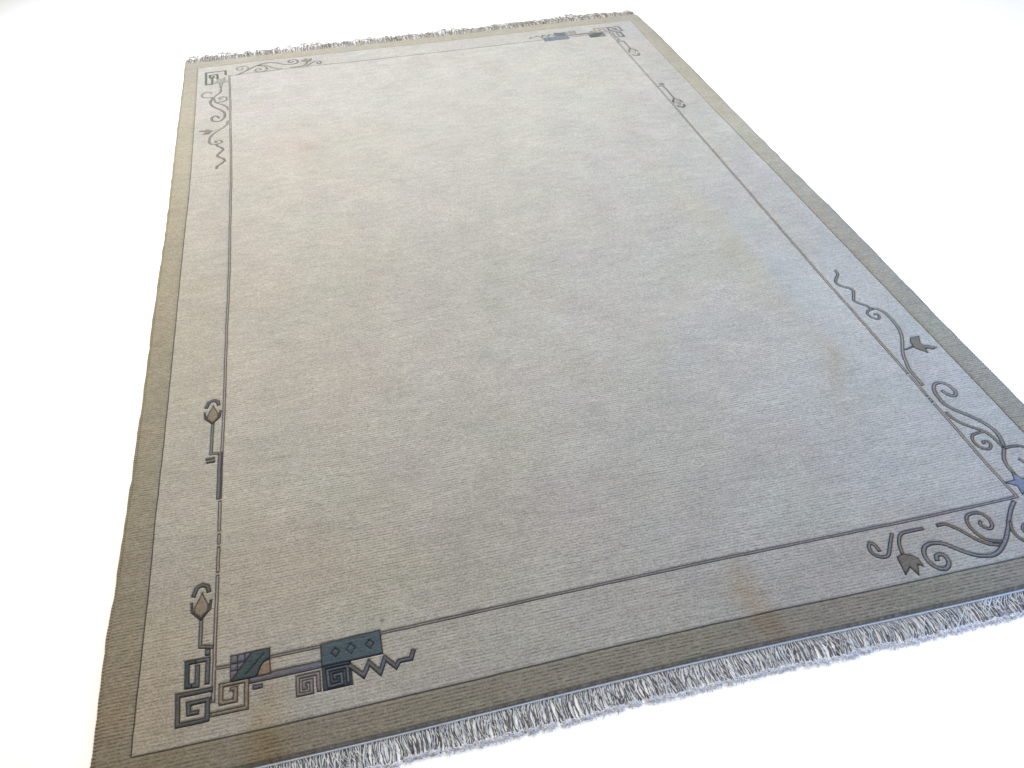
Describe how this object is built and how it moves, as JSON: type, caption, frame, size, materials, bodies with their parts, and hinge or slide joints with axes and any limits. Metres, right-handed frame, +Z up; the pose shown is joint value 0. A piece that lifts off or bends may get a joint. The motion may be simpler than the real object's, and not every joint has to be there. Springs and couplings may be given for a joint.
{
  "type": "rug",
  "caption": "Flat rectangular knotted wool rug with wrapped selvedges along its long sides, and a woven end strip, header cord and cotton fringe at each short end.",
  "frame": {"origin": "on the floor, under the middle of the rug", "axes": "+X across the rug along its rows of knots, +Y along its length towards the far fringe, +Z up out of the pile"},
  "size_m": [2.023, 3.1156, 0.0182],
  "materials": {
    "cream_wool": "matt cream wool pile",
    "olive_wool": "matt olive wool yarn",
    "warp_cotton": "matt undyed cotton yarn"
  },
  "bodies": {
    "root": {"pile_cloth": "cream_wool", "selvedge_left": "olive_wool", "selvedge_right": "olive_wool", "fringe_near": "warp_cotton", "fringe_far": "warp_cotton", "header_cord_near": "warp_cotton", "header_cord_far": "warp_cotton"}
  },
  "joints": []
}
